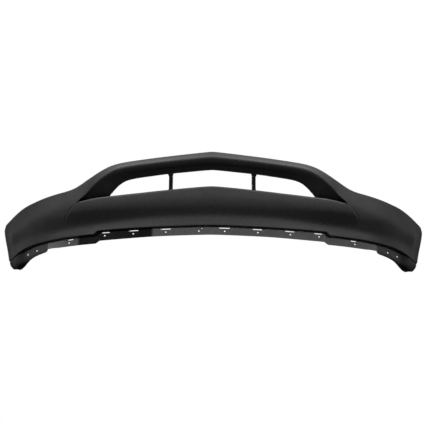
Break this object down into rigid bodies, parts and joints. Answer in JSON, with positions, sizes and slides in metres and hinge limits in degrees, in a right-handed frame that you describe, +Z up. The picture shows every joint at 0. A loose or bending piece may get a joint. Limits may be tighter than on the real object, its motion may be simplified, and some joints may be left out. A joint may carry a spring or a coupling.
{
  "type": "bumper cover",
  "caption": "Lower front bumper cover with an upper bar over a wide air opening, two braces, hanging lower flange strips with slots and holes, and push-in retainers with sliding pins.",
  "frame": {"origin": "midway between the two middle holes of the lower flange strip, at mid wall", "axes": "car faces -Y; +X across the cover to the right as seen from the front camera, +Z up"},
  "size_m": [1.8698, 0.6959, 0.3889],
  "materials": {
    "textured_skin": "fine-grained textured black polypropylene",
    "brace_plastic": "plain black plastic",
    "strip_plastic": "smooth satin black plastic",
    "retainer_plastic": "black nylon",
    "pin_plastic": "black nylon, slightly worn head",
    "screw_steel": "black zinc-plated steel",
    "zinc_clip": "zinc-plated spring steel"
  },
  "bodies": {
    "cover": {"cover_skin": "textured_skin", "strut_left": "brace_plastic", "strut_right": "brace_plastic", "strut_screws": "screw_steel", "lower_flange_centre": "strip_plastic", "lower_flange_left": "strip_plastic", "lower_flange_right": "strip_plastic", "arch_flange_left": "strip_plastic", "arch_flange_right": "strip_plastic", "flange_screws": "screw_steel", "wing_u_nuts": "zinc_clip", "retainer_inner_left": "retainer_plastic", "retainer_inner_right": "retainer_plastic", "retainer_middle_left": "retainer_plastic", "retainer_middle_right": "retainer_plastic", "retainer_outer_left": "retainer_plastic", "retainer_outer_right": "retainer_plastic"},
    "retainer_pin_inner_left_body": {"retainer_pin_inner_left": "pin_plastic"},
    "retainer_pin_inner_right_body": {"retainer_pin_inner_right": "pin_plastic"},
    "retainer_pin_middle_left_body": {"retainer_pin_middle_left": "pin_plastic"},
    "retainer_pin_middle_right_body": {"retainer_pin_middle_right": "pin_plastic"},
    "retainer_pin_outer_left_body": {"retainer_pin_outer_left": "pin_plastic"},
    "retainer_pin_outer_right_body": {"retainer_pin_outer_right": "pin_plastic"}
  },
  "joints": [
    {"name": "pin_pull_inner_left", "type": "slide", "parent": "cover", "child": "retainer_pin_inner_left_body", "axis": [0, 0, -1], "range_m": [0, 0.007]},
    {"name": "pin_pull_inner_right", "type": "slide", "parent": "cover", "child": "retainer_pin_inner_right_body", "axis": [0, 0, -1], "range_m": [0, 0.007]},
    {"name": "pin_pull_middle_left", "type": "slide", "parent": "cover", "child": "retainer_pin_middle_left_body", "axis": [0, 0, -1], "range_m": [0, 0.007]},
    {"name": "pin_pull_middle_right", "type": "slide", "parent": "cover", "child": "retainer_pin_middle_right_body", "axis": [0, 0, -1], "range_m": [0, 0.007]},
    {"name": "pin_pull_outer_left", "type": "slide", "parent": "cover", "child": "retainer_pin_outer_left_body", "axis": [0, 0, -1], "range_m": [0, 0.007]},
    {"name": "pin_pull_outer_right", "type": "slide", "parent": "cover", "child": "retainer_pin_outer_right_body", "axis": [0, 0, -1], "range_m": [0, 0.007]}
  ]
}
